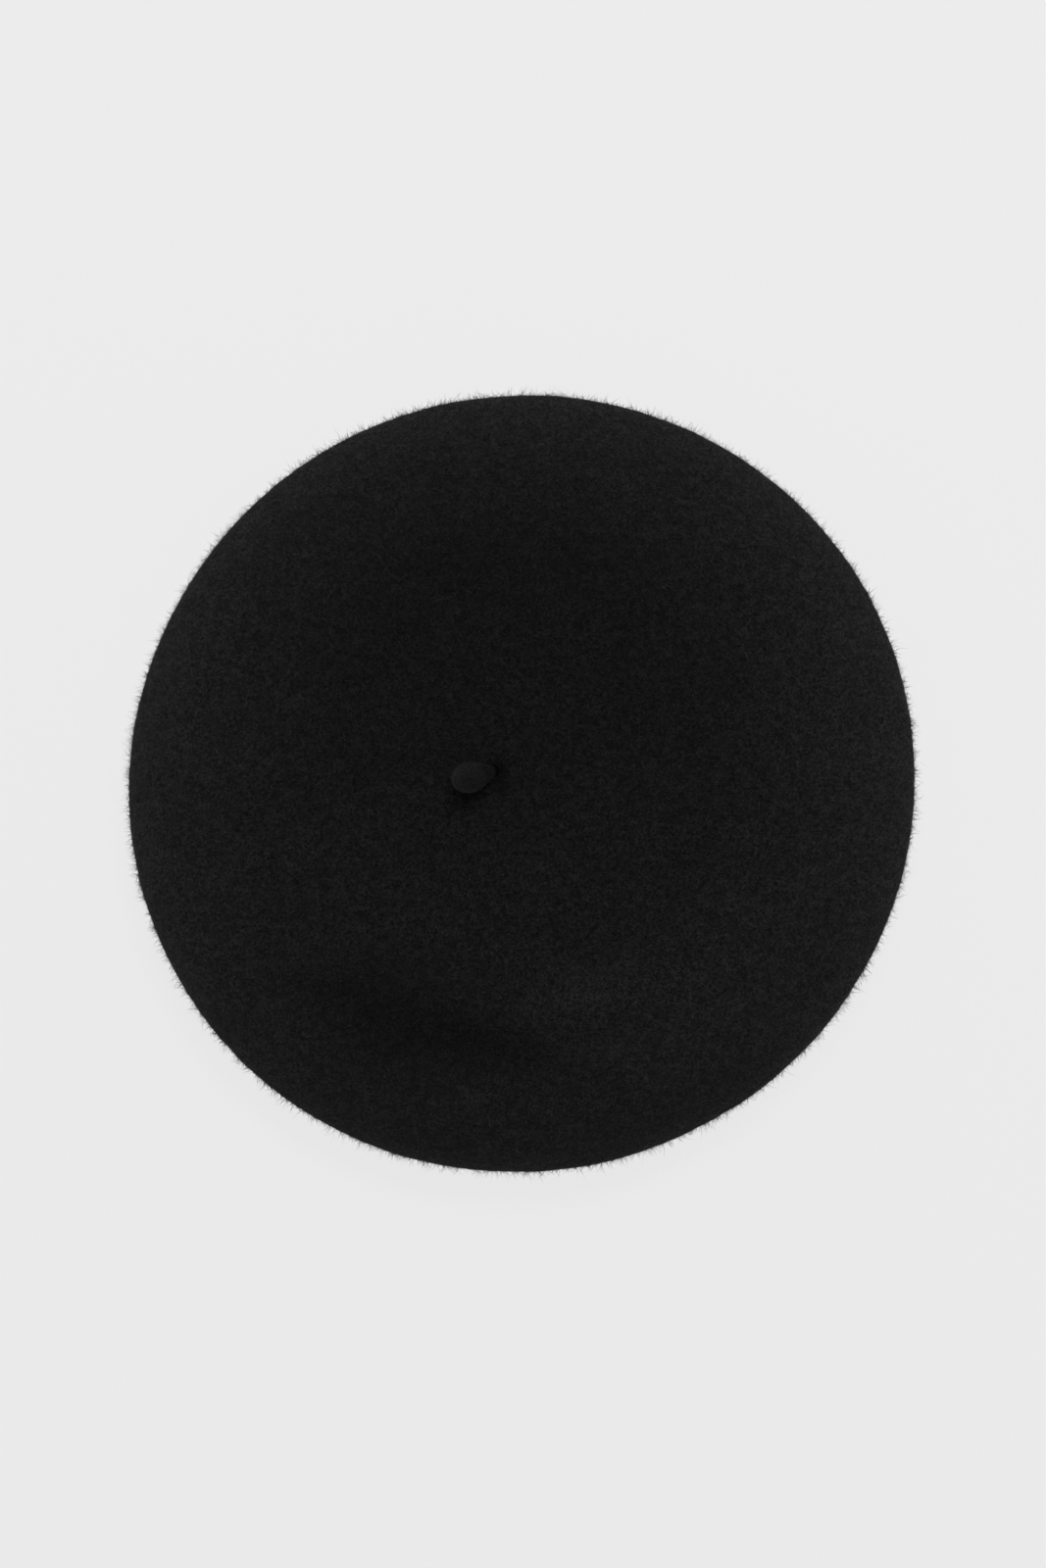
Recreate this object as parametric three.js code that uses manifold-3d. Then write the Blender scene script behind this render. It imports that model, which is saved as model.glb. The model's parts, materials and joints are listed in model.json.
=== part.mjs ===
// A wool beret lying flat with its head opening down.
// Millimetres, +Z up. The origin is on the table, under the middle of the beret.
import * as THREE from 'three';
import { mergeVertices } from 'three/addons/utils/BufferGeometryUtils.js';
import Module from 'manifold-3d';

const wasm = await Module();
wasm.setup();

// Driving dimensions
const GAP = 0.3; // kept between pieces that touch
const SEGMENTS = 48; // round the large rings, so that nested rings share their facets

const RIM_RADIUS = 140; // mean outer radius of the felt body
const OVAL_SHARE = 0.0103; // how far the outline is out of round
const OVAL_ANGLE = THREE.MathUtils.degToRad(27); // direction of the long way across
const OVAL_START = 95; // inside this radius everything stays round
const FELT = 3; // felt thickness
const RIM_FOLD = 12.5; // outside radius of the rim's lower half, and the height of its widest point
const LEVEL_RADIUS = 66; // the felt falls away outside this radius
const LEVEL_RADII = [0, 20, 38, 52]; // where the profiles of the crown and its lining have points inside it
const FALL_POWER = 1.25; // 1 makes the fall a quarter ellipse, and more makes it straighter
const FOLD_STEP = THREE.MathUtils.degToRad(15); // round the fold, so that nested pieces share facets
const CROWN_HEIGHT = 33; // top of the crown without its dish
const DISH = { depth: 2.4, flat: 38, edge: 86 }; // the sag inside the ring where the sweatband holds it up
const MIDDLE_HEIGHT = CROWN_HEIGHT - DISH.depth;
const FELT_OPENING = 90.5; // radius of the hole that the head goes through

const HEAD_RADIUS = 88; // inside of the sweatband: 553 mm round
const LEATHER = 1.2;
const BAND_BOTTOM = 1.2;
const BAND_HEIGHT = 25.4;
const BAND_END_GAP = 0.8; // between the butted ends of the sweatband
const TAB = { thickness: 1, width: 22, bottom: 5.2, top: 24 };
const BACK = -Math.PI / 2; // direction of the back of the beret, where the band is joined

const LINING = 0.6;
const LINING_SAG = 2.5; // the loose lining hangs this far under the felt in the middle
const LINING_SAG_FLAT = 32; // radius of the level part of the sag
const LINING_SEAM_ANGLE = THREE.MathUtils.degToRad(15); // round the fold, above its widest point
const LINING_SEAM_GAP = THREE.MathUtils.degToRad(2); // from the seam to each lining edge
const TAPE = { inner: 91, outer: 97, thickness: 0.6 };
const OFF_TAPE = [2, 7]; // the lining slopes down between these distances outside the tape
const THREAD = 0.35; // radius of the heavy seam threads
const FINE_THREAD = 0.25;

const STALK_PIVOT = new THREE.Vector3(-9.5, 5, MIDDLE_HEIGHT + 1.5);
const STALK_LEAN = THREE.MathUtils.degToRad(65); // away from upright
const STALK_BEARING = THREE.MathUtils.degToRad(197); // the way it leans, seen from above
const STALK = { root: 3.6, neck: 3.3, neckStart: 2.2, tip: 5.5, tipStart: 11.7, length: 17.2, sides: 16 };
const DIMPLE = { radius: 10.5, depth: 0.9 };
const ANCHOR_HOLE = 1.5;
const PAST = 1; // how far a cutter reaches past what it cuts
const ANCHOR = { shaft: 1.2, patchRadius: 9, patch: 0.8, knotRadius: 4, knot: 1.1, sides: 20 };

const LABEL = { width: 50, depth: 28, thickness: 0.5, corner: 2 };
const SIZE_LABEL = { width: 16, bottom: 4, top: 20, thickness: 0.5, bearing: BACK - 0.28 };
const CARE_LABEL = { width: 14, bottom: 3, top: 22, thickness: 0.5, bearing: BACK + 0.28 };

// Materials, one for each kind of stuff
const stuff = (color, roughness) => () => (
  new THREE.MeshStandardMaterial({ color, roughness, metalness: 0 })
);
const wool = stuff(0x1a1a1b, 0.95);
const leather = stuff(0x2a211c, 0.55);
const satin = stuff(0x17171a, 0.35);
const cotton = stuff(0x242424, 0.85);
const thread = stuff(0x151515, 0.6);
const labelSatin = stuff(0xb9b6ae, 0.5);

const beret = new THREE.Group();

function addPiece(name, geometry, material) {
  const mesh = new THREE.Mesh(geometry, material());
  mesh.name = name;
  beret.add(mesh);
  return mesh;
}

const { smoothstep, lerp } = THREE.MathUtils;
const point = (x, y) => new THREE.Vector2(x, y);

const dishAt = (radius) => DISH.depth * (1 - smoothstep(radius, DISH.flat, DISH.edge));

// Points down the side of the felt, at a given depth inside its outer surface: from the crown
// (90 degrees) to the rim's widest point (0), and round a quarter circle under it
function foldArc(depth, from, to) {
  const between = Array.from({ length: 11 }, (_, i) => (i - 5) * FOLD_STEP)
    .filter((angle) => angle > Math.min(from, to) + 1e-6 && angle < Math.max(from, to) - 1e-6);
  if (to < from) between.reverse();
  return [from, ...between, to].map((angle) => {
    if (angle <= 0) {
      const inner = RIM_FOLD - depth;
      return point(RIM_RADIUS - RIM_FOLD + inner * Math.cos(angle), RIM_FOLD + inner * Math.sin(angle));
    }
    const [across, up] = [Math.cos(angle), Math.sin(angle)].map((share) => Math.abs(share) ** FALL_POWER);
    const radius = LEVEL_RADIUS + (RIM_RADIUS - LEVEL_RADIUS - depth) * across;
    return point(radius, RIM_FOLD + (CROWN_HEIGHT - RIM_FOLD - depth) * up - dishAt(radius));
  });
}

// Points along the middle of the crown, at a given depth, from the axis to where foldArc starts
function levelPoints(depth, sag = 0) {
  return LEVEL_RADII.map((radius) => {
    const hang = sag * (1 - smoothstep(radius, LINING_SAG_FLAT, LEVEL_RADIUS));
    return point(radius, CROWN_HEIGHT - depth - dishAt(radius) - hang);
  });
}

// A profile turned round the vertical axis
function turned(profile, segments) {
  const geometry = new THREE.LatheGeometry(profile, segments);
  geometry.rotateX(Math.PI / 2);
  return geometry;
}

// A ring whose profile closes on itself
const turnedRing = (profile, segments = SEGMENTS) => turned([...profile, profile[0]], segments);

// Pulls the outer part of a turned shape into the beret's slightly oval outline
function madeOval(geometry) {
  const position = geometry.getAttribute('position');
  for (let i = 0; i < position.count; i += 1) {
    const x = position.getX(i);
    const y = position.getY(i);
    const share = smoothstep(Math.hypot(x, y), OVAL_START, RIM_RADIUS);
    const scale = 1 + OVAL_SHARE * share * Math.cos(2 * (Math.atan2(y, x) - OVAL_ANGLE));
    position.setXY(i, x * scale, y * scale);
  }
  return geometry;
}

function ringOfThread(radius, height, thickness, sides = 6) {
  const profile = Array.from({ length: sides }, (_, i) => {
    const angle = (2 * Math.PI * i) / sides;
    return point(radius + thickness * Math.cos(angle), height + thickness * Math.sin(angle));
  });
  return turnedRing(profile);
}

// A closed solid for joining and cutting
function toManifold(geometry) {
  const bare = geometry.clone();
  bare.deleteAttribute('normal');
  bare.deleteAttribute('uv');
  const merged = mergeVertices(bare, 1e-4);
  const corners = Array.from(merged.index.array);
  const triangles = [];
  for (let i = 0; i < corners.length; i += 3) {
    const [a, b, c] = corners.slice(i, i + 3);
    if (a !== b && b !== c && c !== a) triangles.push(a, b, c);
  }
  return new wasm.Manifold(new wasm.Mesh({
    numProp: 3,
    vertProperties: Float32Array.from(merged.getAttribute('position').array),
    triVerts: Uint32Array.from(triangles),
  }));
}

function fromManifold(solid) {
  const mesh = solid.getMesh();
  const geometry = new THREE.BufferGeometry();
  geometry.setAttribute('position', new THREE.BufferAttribute(mesh.vertProperties, 3));
  geometry.setIndex(new THREE.BufferAttribute(mesh.triVerts, 1));
  geometry.computeVertexNormals();
  return geometry;
}

// A strip that follows the head opening: a sector of a ring, standing up
function curvedStrip(inner, thickness, from, to, bottom, top, steps) {
  const outline = new THREE.Shape();
  outline.absarc(0, 0, inner + thickness, from, to, false);
  outline.absarc(0, 0, inner, to, from, true);
  const geometry = new THREE.ExtrudeGeometry(outline, {
    depth: top - bottom, curveSegments: steps / 2, bevelEnabled: false,
  });
  geometry.translate(0, 0, bottom);
  return geometry;
}

// A thread along a curve
function threadAlong(curve, radius, steps, sides = 6) {
  const section = new THREE.Shape();
  section.absarc(0, 0, radius, 0, 2 * Math.PI, false);
  return new THREE.ExtrudeGeometry(section, {
    extrudePath: curve, steps, curveSegments: sides / 2, bevelEnabled: false,
  });
}

// Cuts the stalk's seat: a shallow dimple, a ball socket in it, and a hole for the anchor thread
function stalkSeat() {
  const socket = STALK.root + GAP;
  const drop = STALK_PIVOT.z - MIDDLE_HEIGHT; // the pivot's height above the crown
  const floor = -drop - DIMPLE.depth;
  const socketEdge = Math.acos(-floor / socket);
  const holeEdge = Math.asin(ANCHOR_HOLE / socket);
  const bowl = Array.from({ length: 5 }, (_, i) => {
    const angle = lerp(holeEdge, socketEdge, i / 4);
    return point(socket * Math.sin(angle), -socket * Math.cos(angle));
  });
  const cutter = turned([
    point(0, -drop - FELT - PAST),
    point(ANCHOR_HOLE, -drop - FELT - PAST),
    ...bowl,
    point(0.55 * DIMPLE.radius, floor + 0.3 * DIMPLE.depth),
    point(DIMPLE.radius, -drop + 0.1 * PAST),
    point(DIMPLE.radius, -drop + PAST),
    point(0, -drop + PAST),
  ], ANCHOR.sides);
  return cutter.translate(STALK_PIVOT.x, STALK_PIVOT.y, STALK_PIVOT.z);
}

// The felt body, knitted and fulled in one piece: crown, folded rim and underside
function feltBody() {
  const quarter = Math.PI / 2;
  const profile = [
    ...levelPoints(FELT),
    ...foldArc(FELT, quarter, -quarter),
    point(FELT_OPENING, FELT),
    point(FELT_OPENING, 0),
    ...foldArc(0, -quarter, quarter),
    ...levelPoints(0).reverse(),
  ];
  const body = toManifold(madeOval(turned(profile, SEGMENTS)));
  return fromManifold(body.subtract(toManifold(stalkSeat())));
}

// The stalk: a felted stub with a ball root, a narrow neck and a rounded, thicker end
function stalk() {
  const ball = Array.from({ length: 6 }, (_, i) => {
    const angle = lerp(0, 0.56 * Math.PI, i / 5);
    return point(STALK.root * Math.sin(angle), -STALK.root * Math.cos(angle));
  });
  const sides = Array.from({ length: 6 }, (_, i) => {
    const share = i / 6;
    const radius = lerp(STALK.neck, STALK.tip, smoothstep(share, 0, 1));
    return point(radius, lerp(STALK.neckStart, STALK.tipStart, share));
  });
  const dome = Array.from({ length: 6 }, (_, i) => {
    const angle = lerp(0, Math.PI / 2, i / 5);
    const along = STALK.tipStart + (STALK.length - STALK.tipStart) * Math.sin(angle);
    return point(STALK.tip * Math.cos(angle), along);
  });
  dome[dome.length - 1].x = 0;
  const geometry = turned([...ball, ...sides, ...dome], STALK.sides);
  const leanAxis = new THREE.Vector3(-Math.sin(STALK_BEARING), Math.cos(STALK_BEARING), 0);
  geometry.applyMatrix4(new THREE.Matrix4().makeRotationAxis(leanAxis, STALK_LEAN));
  return geometry.translate(STALK_PIVOT.x, STALK_PIVOT.y, STALK_PIVOT.z);
}

// A cloth patch under the felt that spreads the pull of the stalk's anchor thread
function anchorPatch() {
  const top = MIDDLE_HEIGHT - FELT - GAP;
  const patch = turnedRing([
    point(ANCHOR_HOLE, top - ANCHOR.patch),
    point(ANCHOR.patchRadius, top - ANCHOR.patch),
    point(ANCHOR.patchRadius, top),
    point(ANCHOR_HOLE, top),
  ], ANCHOR.sides);
  return patch.translate(STALK_PIVOT.x, STALK_PIVOT.y, 0);
}

// The anchor thread: a shank through patch and felt up to the stalk's root, and its knot below
function anchorThread() {
  const knotTop = MIDDLE_HEIGHT - FELT - 2 * GAP - ANCHOR.patch;
  const shankTop = STALK_PIVOT.z - STALK.root - 0.5;
  const knot = turned([
    point(0, knotTop - ANCHOR.knot),
    point(0.7 * ANCHOR.knotRadius, knotTop - ANCHOR.knot),
    point(ANCHOR.knotRadius, knotTop - 0.5 * ANCHOR.knot),
    point(0.8 * ANCHOR.knotRadius, knotTop),
    point(ANCHOR.shaft, knotTop),
    point(ANCHOR.shaft, shankTop),
    point(0, shankTop),
  ], ANCHOR.sides);
  return knot.translate(STALK_PIVOT.x, STALK_PIVOT.y, 0);
}

// The crown piece of the loose satin lining, down to the seam inside the fold
function liningCrown() {
  const top = FELT + GAP;
  const edge = LINING_SEAM_ANGLE + LINING_SEAM_GAP;
  return madeOval(turned([
    ...levelPoints(top + LINING, LINING_SAG),
    ...foldArc(top + LINING, Math.PI / 2, edge),
    ...foldArc(top, edge, Math.PI / 2),
    ...levelPoints(top, LINING_SAG).reverse(),
  ], SEGMENTS));
}

// The side piece of the lining, over the underside of the felt, from the seam to the opening
function liningSide() {
  const edge = LINING_SEAM_ANGLE - LINING_SEAM_GAP;
  const overTape = FELT + 2 * GAP + TAPE.thickness;
  const besideTape = FELT + GAP;
  const [slopeTop, slopeFoot] = OFF_TAPE.map((distance) => TAPE.outer + distance);
  return madeOval(turnedRing([
    point(TAPE.inner, overTape),
    point(slopeTop, overTape),
    point(slopeFoot, besideTape),
    ...foldArc(besideTape, -Math.PI / 2, edge),
    ...foldArc(besideTape + LINING, edge, -Math.PI / 2),
    point(slopeFoot, besideTape + LINING),
    point(slopeTop, overTape + LINING),
    point(TAPE.inner, overTape + LINING),
  ]));
}

function liningSeamThread() {
  const depth = FELT + GAP + LINING / 2;
  const [seam] = foldArc(depth, LINING_SEAM_ANGLE, LINING_SEAM_ANGLE);
  return madeOval(ringOfThread(seam.x, seam.y, THREAD));
}

// A cotton tape that keeps the felt round the opening from stretching
function stayTape() {
  const bottom = FELT + GAP;
  return madeOval(turnedRing([
    point(TAPE.inner, bottom),
    point(TAPE.outer, bottom),
    point(TAPE.outer, bottom + TAPE.thickness),
    point(TAPE.inner, bottom + TAPE.thickness),
  ]));
}

// The leather sweatband: one strip, its ends butted at the back
function sweatband() {
  const halfGap = BAND_END_GAP / 2 / HEAD_RADIUS;
  const [from, to] = [BACK + halfGap, BACK + 2 * Math.PI - halfGap];
  return curvedStrip(HEAD_RADIUS, LEATHER, from, to, BAND_BOTTOM, BAND_BOTTOM + BAND_HEIGHT, SEGMENTS);
}

// The thread that sews the sweatband's lower edge to the edge of the felt
function sweatbandSeamThread() {
  const radius = (HEAD_RADIUS + LEATHER + FELT_OPENING) / 2;
  return ringOfThread(radius, BAND_BOTTOM + THREAD, THREAD);
}

// A leather tab behind the butted ends
function joinTab() {
  const inner = HEAD_RADIUS + LEATHER + GAP;
  const half = TAB.width / 2 / inner;
  return curvedStrip(inner, TAB.thickness, BACK - half, BACK + half, TAB.bottom, TAB.top, 4);
}

// The zigzag thread across the butted ends
class Zigzag extends THREE.Curve {
  constructor(distance, halfWidth, bottom, top, waves) {
    super();
    Object.assign(this, { distance, halfWidth, bottom, top, waves });
  }

  getPoint(t, target = new THREE.Vector3()) {
    const across = this.halfWidth * Math.sin(2 * Math.PI * this.waves * t);
    return target.set(across, -this.distance, lerp(this.bottom, this.top, t));
  }
}

function joinThread() {
  const inset = 3; // from the band's edges to the first and last stitch
  const [halfWidth, waves, stepsPerWave] = [2.2, 6, 10];
  const [bottom, top] = [BAND_BOTTOM + inset, BAND_BOTTOM + BAND_HEIGHT - inset];
  const distance = HEAD_RADIUS - 2 * GAP - FINE_THREAD;
  const zigzag = new Zigzag(distance, halfWidth, bottom, top, waves);
  return threadAlong(zigzag, FINE_THREAD, waves * stepsPerWave);
}

function roundedRectangle(width, depth, corner, Kind = THREE.Shape) {
  const outline = new Kind();
  const [x, y] = [width / 2 - corner, depth / 2 - corner];
  const quarter = Math.PI / 2;
  outline.absarc(x, y, corner, 0, quarter, false);
  outline.absarc(-x, y, corner, quarter, 2 * quarter, false);
  outline.absarc(-x, -y, corner, 2 * quarter, 3 * quarter, false);
  outline.absarc(x, -y, corner, 3 * quarter, 4 * quarter, false);
  outline.closePath();
  return outline;
}

const labelTop = MIDDLE_HEIGHT - FELT - GAP - LINING_SAG - LINING - GAP;

// A blank woven label under the middle of the lining
function makerLabel() {
  const geometry = new THREE.ExtrudeGeometry(roundedRectangle(LABEL.width, LABEL.depth, LABEL.corner), {
    depth: LABEL.thickness, curveSegments: 2, bevelEnabled: false,
  });
  return geometry.translate(0, 0, labelTop - LABEL.thickness);
}

// The row of stitches round that label: a flat loop of thread
function makerLabelThread() {
  const inset = 1.5;
  const width = 2 * FINE_THREAD;
  const [across, along, corner] = [LABEL.width - 2 * inset, LABEL.depth - 2 * inset, LABEL.corner];
  const loop = roundedRectangle(across, along, corner);
  loop.holes.push(roundedRectangle(across - 2 * width, along - 2 * width, corner - width, THREE.Path));
  const geometry = new THREE.ExtrudeGeometry(loop, { depth: width, curveSegments: 2, bevelEnabled: false });
  return geometry.translate(0, 0, labelTop - LABEL.thickness - GAP - width);
}

// A blank tab on the inside of the sweatband, near the back
function sizeLabel() {
  const inner = HEAD_RADIUS - 2 * GAP - SIZE_LABEL.thickness;
  const half = SIZE_LABEL.width / 2 / inner;
  const [from, to] = [SIZE_LABEL.bearing - half, SIZE_LABEL.bearing + half];
  return curvedStrip(inner, SIZE_LABEL.thickness, from, to, SIZE_LABEL.bottom, SIZE_LABEL.top, 4);
}

// The distance from the axis to a flat plate that hangs just inside the curved sweatband
function plateDistance(width) {
  const facet = HEAD_RADIUS * Math.cos(Math.PI / SEGMENTS);
  return facet - (width / 2) ** 2 / (2 * HEAD_RADIUS) - GAP;
}

// Puts something made beside the back of the beret at another bearing
const toBearing = (geometry, bearing) => geometry.rotateZ(bearing - BACK);

// A blank care label, sewn to the sweatband by its top edge and hanging free below
function careLabel() {
  const height = CARE_LABEL.top - CARE_LABEL.bottom;
  const distance = plateDistance(CARE_LABEL.width) - CARE_LABEL.thickness / 2;
  const geometry = new THREE.BoxGeometry(CARE_LABEL.width, CARE_LABEL.thickness, height);
  geometry.translate(0, -distance, CARE_LABEL.bottom + height / 2);
  return toBearing(geometry, CARE_LABEL.bearing);
}

// The row of stitches over the care label's top edge
function careLabelThread() {
  const distance = plateDistance(CARE_LABEL.width) - FINE_THREAD;
  const inset = 1;
  const half = CARE_LABEL.width / 2 - inset;
  const height = CARE_LABEL.top + GAP + FINE_THREAD;
  const row = new THREE.LineCurve3(
    new THREE.Vector3(-half, -distance, height),
    new THREE.Vector3(half, -distance, height),
  );
  return toBearing(threadAlong(row, FINE_THREAD, 4), CARE_LABEL.bearing);
}

addPiece('felt_body', feltBody(), wool);
addPiece('stalk', stalk(), wool);
addPiece('stalk_anchor_patch', anchorPatch(), cotton);
addPiece('stalk_anchor_thread', anchorThread(), thread);
addPiece('lining_crown', liningCrown(), satin);
addPiece('lining_side', liningSide(), satin);
addPiece('lining_seam_thread', liningSeamThread(), thread);
addPiece('stay_tape', stayTape(), cotton);
addPiece('sweatband', sweatband(), leather);
addPiece('sweatband_seam_thread', sweatbandSeamThread(), thread);
addPiece('sweatband_join_tab', joinTab(), leather);
addPiece('sweatband_join_thread', joinThread(), thread);
addPiece('maker_label', makerLabel(), labelSatin);
addPiece('maker_label_thread', makerLabelThread(), thread);
addPiece('size_label', sizeLabel(), labelSatin);
addPiece('care_label', careLabel(), labelSatin);
addPiece('care_label_thread', careLabelThread(), thread);

export default beret;
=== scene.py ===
"""A black felted wool beret lying flat, seen from straight above. Metres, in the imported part's frame."""
import json
import math

import bpy
import numpy as np
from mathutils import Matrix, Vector


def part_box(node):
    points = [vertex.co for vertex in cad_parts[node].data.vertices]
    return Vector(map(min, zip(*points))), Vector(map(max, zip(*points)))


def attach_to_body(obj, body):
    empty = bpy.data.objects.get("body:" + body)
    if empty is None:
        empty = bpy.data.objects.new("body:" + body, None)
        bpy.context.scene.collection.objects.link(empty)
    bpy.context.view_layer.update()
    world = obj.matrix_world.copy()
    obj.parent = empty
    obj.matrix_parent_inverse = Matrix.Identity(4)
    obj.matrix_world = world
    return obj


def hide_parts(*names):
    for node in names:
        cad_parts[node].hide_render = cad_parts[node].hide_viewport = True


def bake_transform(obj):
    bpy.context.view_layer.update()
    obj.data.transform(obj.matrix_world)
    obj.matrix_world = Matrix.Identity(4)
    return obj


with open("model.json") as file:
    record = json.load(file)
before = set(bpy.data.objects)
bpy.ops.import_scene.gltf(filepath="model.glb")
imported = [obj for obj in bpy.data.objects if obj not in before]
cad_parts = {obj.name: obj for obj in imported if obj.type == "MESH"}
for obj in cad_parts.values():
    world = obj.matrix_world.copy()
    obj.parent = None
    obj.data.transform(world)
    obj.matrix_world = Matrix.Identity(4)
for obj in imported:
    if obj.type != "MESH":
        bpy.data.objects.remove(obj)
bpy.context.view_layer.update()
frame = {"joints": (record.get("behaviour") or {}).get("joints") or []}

MM = 0.001


def half_size(node, axis):
    low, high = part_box(node)
    return (high[axis] - low[axis]) / 2


def joint_place(name):
    return next(Vector(joint["pos_m"]) for joint in frame["joints"] if joint["name"] == name)


# Sizes, from the frame where the frame has them
RIM = (half_size("felt_body", 0) + half_size("felt_body", 1)) / 2  # mean outer radius
OVAL_SHARE = 0.0103  # what the outline's longest radius has over the mean one
OVAL_ANGLE = math.radians(27)  # the direction of the longest radius
OVAL_START = 95 * MM  # inside this radius the beret is round
CROWN = 33 * MM  # top of the crown without its dish
FELT = 3 * MM  # thickness of the felt
FOLD = 12.5 * MM  # height of the rim's widest point, and the radius it is rounded to underneath
FOLD_CENTRE = RIM - FOLD
LEVEL = 66 * MM  # inside this radius the crown doesn't fall away
ROUNDNESS = 1.6  # 2 would make the fall a quarter ellipse, and less makes it straighter
INNERMOST = 0.4 * MM  # radius of the crown's first row, which is closed off
OPENING = 90.5 * MM  # radius of the felt's inner edge
GAP = 0.3 * MM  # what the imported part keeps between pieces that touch
SATIN = 0.3 * MM  # drawn thickness of the lining
LEATHER = 1.2 * MM
BAND_OUTSIDE = half_size("sweatband", 0)
BAND_INSIDE = BAND_OUTSIDE - LEATHER
BAND_LOW, BAND_TOP = (corner.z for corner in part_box("sweatband"))
BACK = -math.pi / 2  # the direction of the beret's back
BAND_END_GAP = 0.8 * MM  # between the sweatband's two ends
LINING_SAG = 2.5 * MM
LINING_SEAM = math.radians(15)  # round the fold, above its widest point
LINING_EDGE = math.radians(2)  # from the seam to each lining edge
TAPE_MIDDLE = 94 * MM
SIZE_LABEL_BEARING = BACK - 0.28
CARE_LABEL_BEARING = BACK + 0.28
STALK_PIVOT = joint_place("stalk_bend")
LABEL_HINGE = joint_place("care_label_flap")
STALK_BEARING = math.radians(197)  # the direction that it leans in
STALK_LEAN = math.radians(65)  # from upright
STALK_LENGTH = 17.2 * MM
THREAD = 0.22 * MM  # radius of the sweatband's drawn threads
LABEL_THREAD = 0.16 * MM


# -------- numbers

def smoothstep(value, start, end):
    t = np.clip((value - start) / (end - start), 0, 1)
    return t * t * (3 - 2 * t)


def mix(a, b, share):
    return a + (b - a) * share


def bell(distance, width):
    """1 where distance is 0, falling off over width on each side."""
    return np.exp(-((distance / width) ** 2))


def toward(angle, middle, spread):
    """1 in the direction middle (in degrees), falling off over spread degrees on each side."""
    turn = (angle - math.radians(middle) + math.pi) % (2 * math.pi) - math.pi
    return bell(turn, math.radians(spread))


def circle(count):
    """count directions, evenly all the way round."""
    return np.linspace(0, 2 * math.pi, count, endpoint=False)


def polar(points):
    """Each point's distance from the upright axis, and its direction."""
    return np.hypot(points[:, 0], points[:, 1]), np.arctan2(points[:, 1], points[:, 0])


def hashed(cells, seed):
    """A repeatable number from -1 to 1 for each lattice point."""
    primes = np.array([374761393, 668265263, 2246822519], np.uint64)
    h = (cells.astype(np.uint64) * primes).sum(axis=1) + np.uint64(seed * 40503 + 977)
    h &= np.uint64(0xFFFFFFFF)
    h = ((h ^ (h >> np.uint64(13))) * np.uint64(1274126177)) & np.uint64(0xFFFFFFFF)
    return ((h ^ (h >> np.uint64(16))) & np.uint64(0xFFFF)) / 32767.5 - 1


def noise(points, size, seed=0):
    """Smooth noise from about -1 to 1, with features about size across."""
    p = np.asarray(points, float).reshape(-1, 3) / size + 4096
    cell = np.floor(p).astype(np.int64)
    f = p - cell
    f = f * f * (3 - 2 * f)
    total = np.zeros(len(p))
    for corner in np.ndindex(2, 2, 2):
        weight = np.prod(np.where(corner, f, 1 - f), axis=1)
        total += weight * hashed(cell + np.array(corner), seed)
    return total


# -------- meshes

def new_piece(name, vertices, faces, material, smooth=True):
    mesh = bpy.data.meshes.new(name)
    mesh.from_pydata([tuple(v) for v in vertices], [], faces)
    mesh.validate()
    mesh.update()
    mesh.polygons.foreach_set("use_smooth", [smooth] * len(mesh.polygons))
    mesh.materials.append(material)
    piece = bpy.data.objects.new(name, mesh)
    bpy.context.scene.collection.objects.link(piece)
    return piece


def skin(name, rows, material, loop=False):
    """A closed body from rows of points, all of one length: each row is a closed line round the body. The
    first and last rows are closed off, or with loop the last row joins the first, as in a ring."""
    rows = np.asarray(rows, float)
    count, columns = rows.shape[:2]
    points = rows.reshape(-1, 3)
    faces = []
    for i in range(count if loop else count - 1):
        here, after = i * columns, (i + 1) % count * columns
        faces += [(here + j, here + (j + 1) % columns, after + (j + 1) % columns, after + j)
                  for j in range(columns)]
    if not loop:
        first, last, end = len(points), len(points) + 1, (count - 1) * columns
        points = np.concatenate([points, [rows[0].mean(axis=0)], [rows[-1].mean(axis=0)]])
        for j in range(columns):
            beside = (j + 1) % columns
            faces += [(first, beside, j), (last, end + j, end + beside)]
    return facing_out(new_piece(name, points, faces, material))


def facing_out(piece):
    """Turns a closed piece's faces outwards if they point inwards."""
    corners = triangle_corners(piece)
    if (corners[:, 0] * np.cross(corners[:, 1], corners[:, 2])).sum() < 0:
        piece.data.flip_normals()
    return piece


def triangle_corners(piece):
    mesh = piece.data
    mesh.calc_loop_triangles()
    corners = np.zeros(len(mesh.loop_triangles) * 3, np.int64)
    mesh.loop_triangles.foreach_get("vertices", corners)
    return vertex_points(piece)[corners.reshape(-1, 3)]


def strip_section(width, thickness, steps):
    """Round the section of a strip: two long sides joined by rounded edges. Columns are places across
    the strip's width and through its thickness."""
    half, reach = thickness / 2, (width - thickness) / 2
    side = np.linspace(-reach, reach, steps)
    turn = np.linspace(math.pi / 2, -math.pi / 2, 5)[1:-1]
    across = np.concatenate([side, reach + half * np.cos(turn), side[::-1], -reach - half * np.cos(turn)])
    through = np.concatenate([np.full(steps, half), half * np.sin(turn),
                              np.full(steps, -half), -half * np.sin(turn)])
    return across, through


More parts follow.
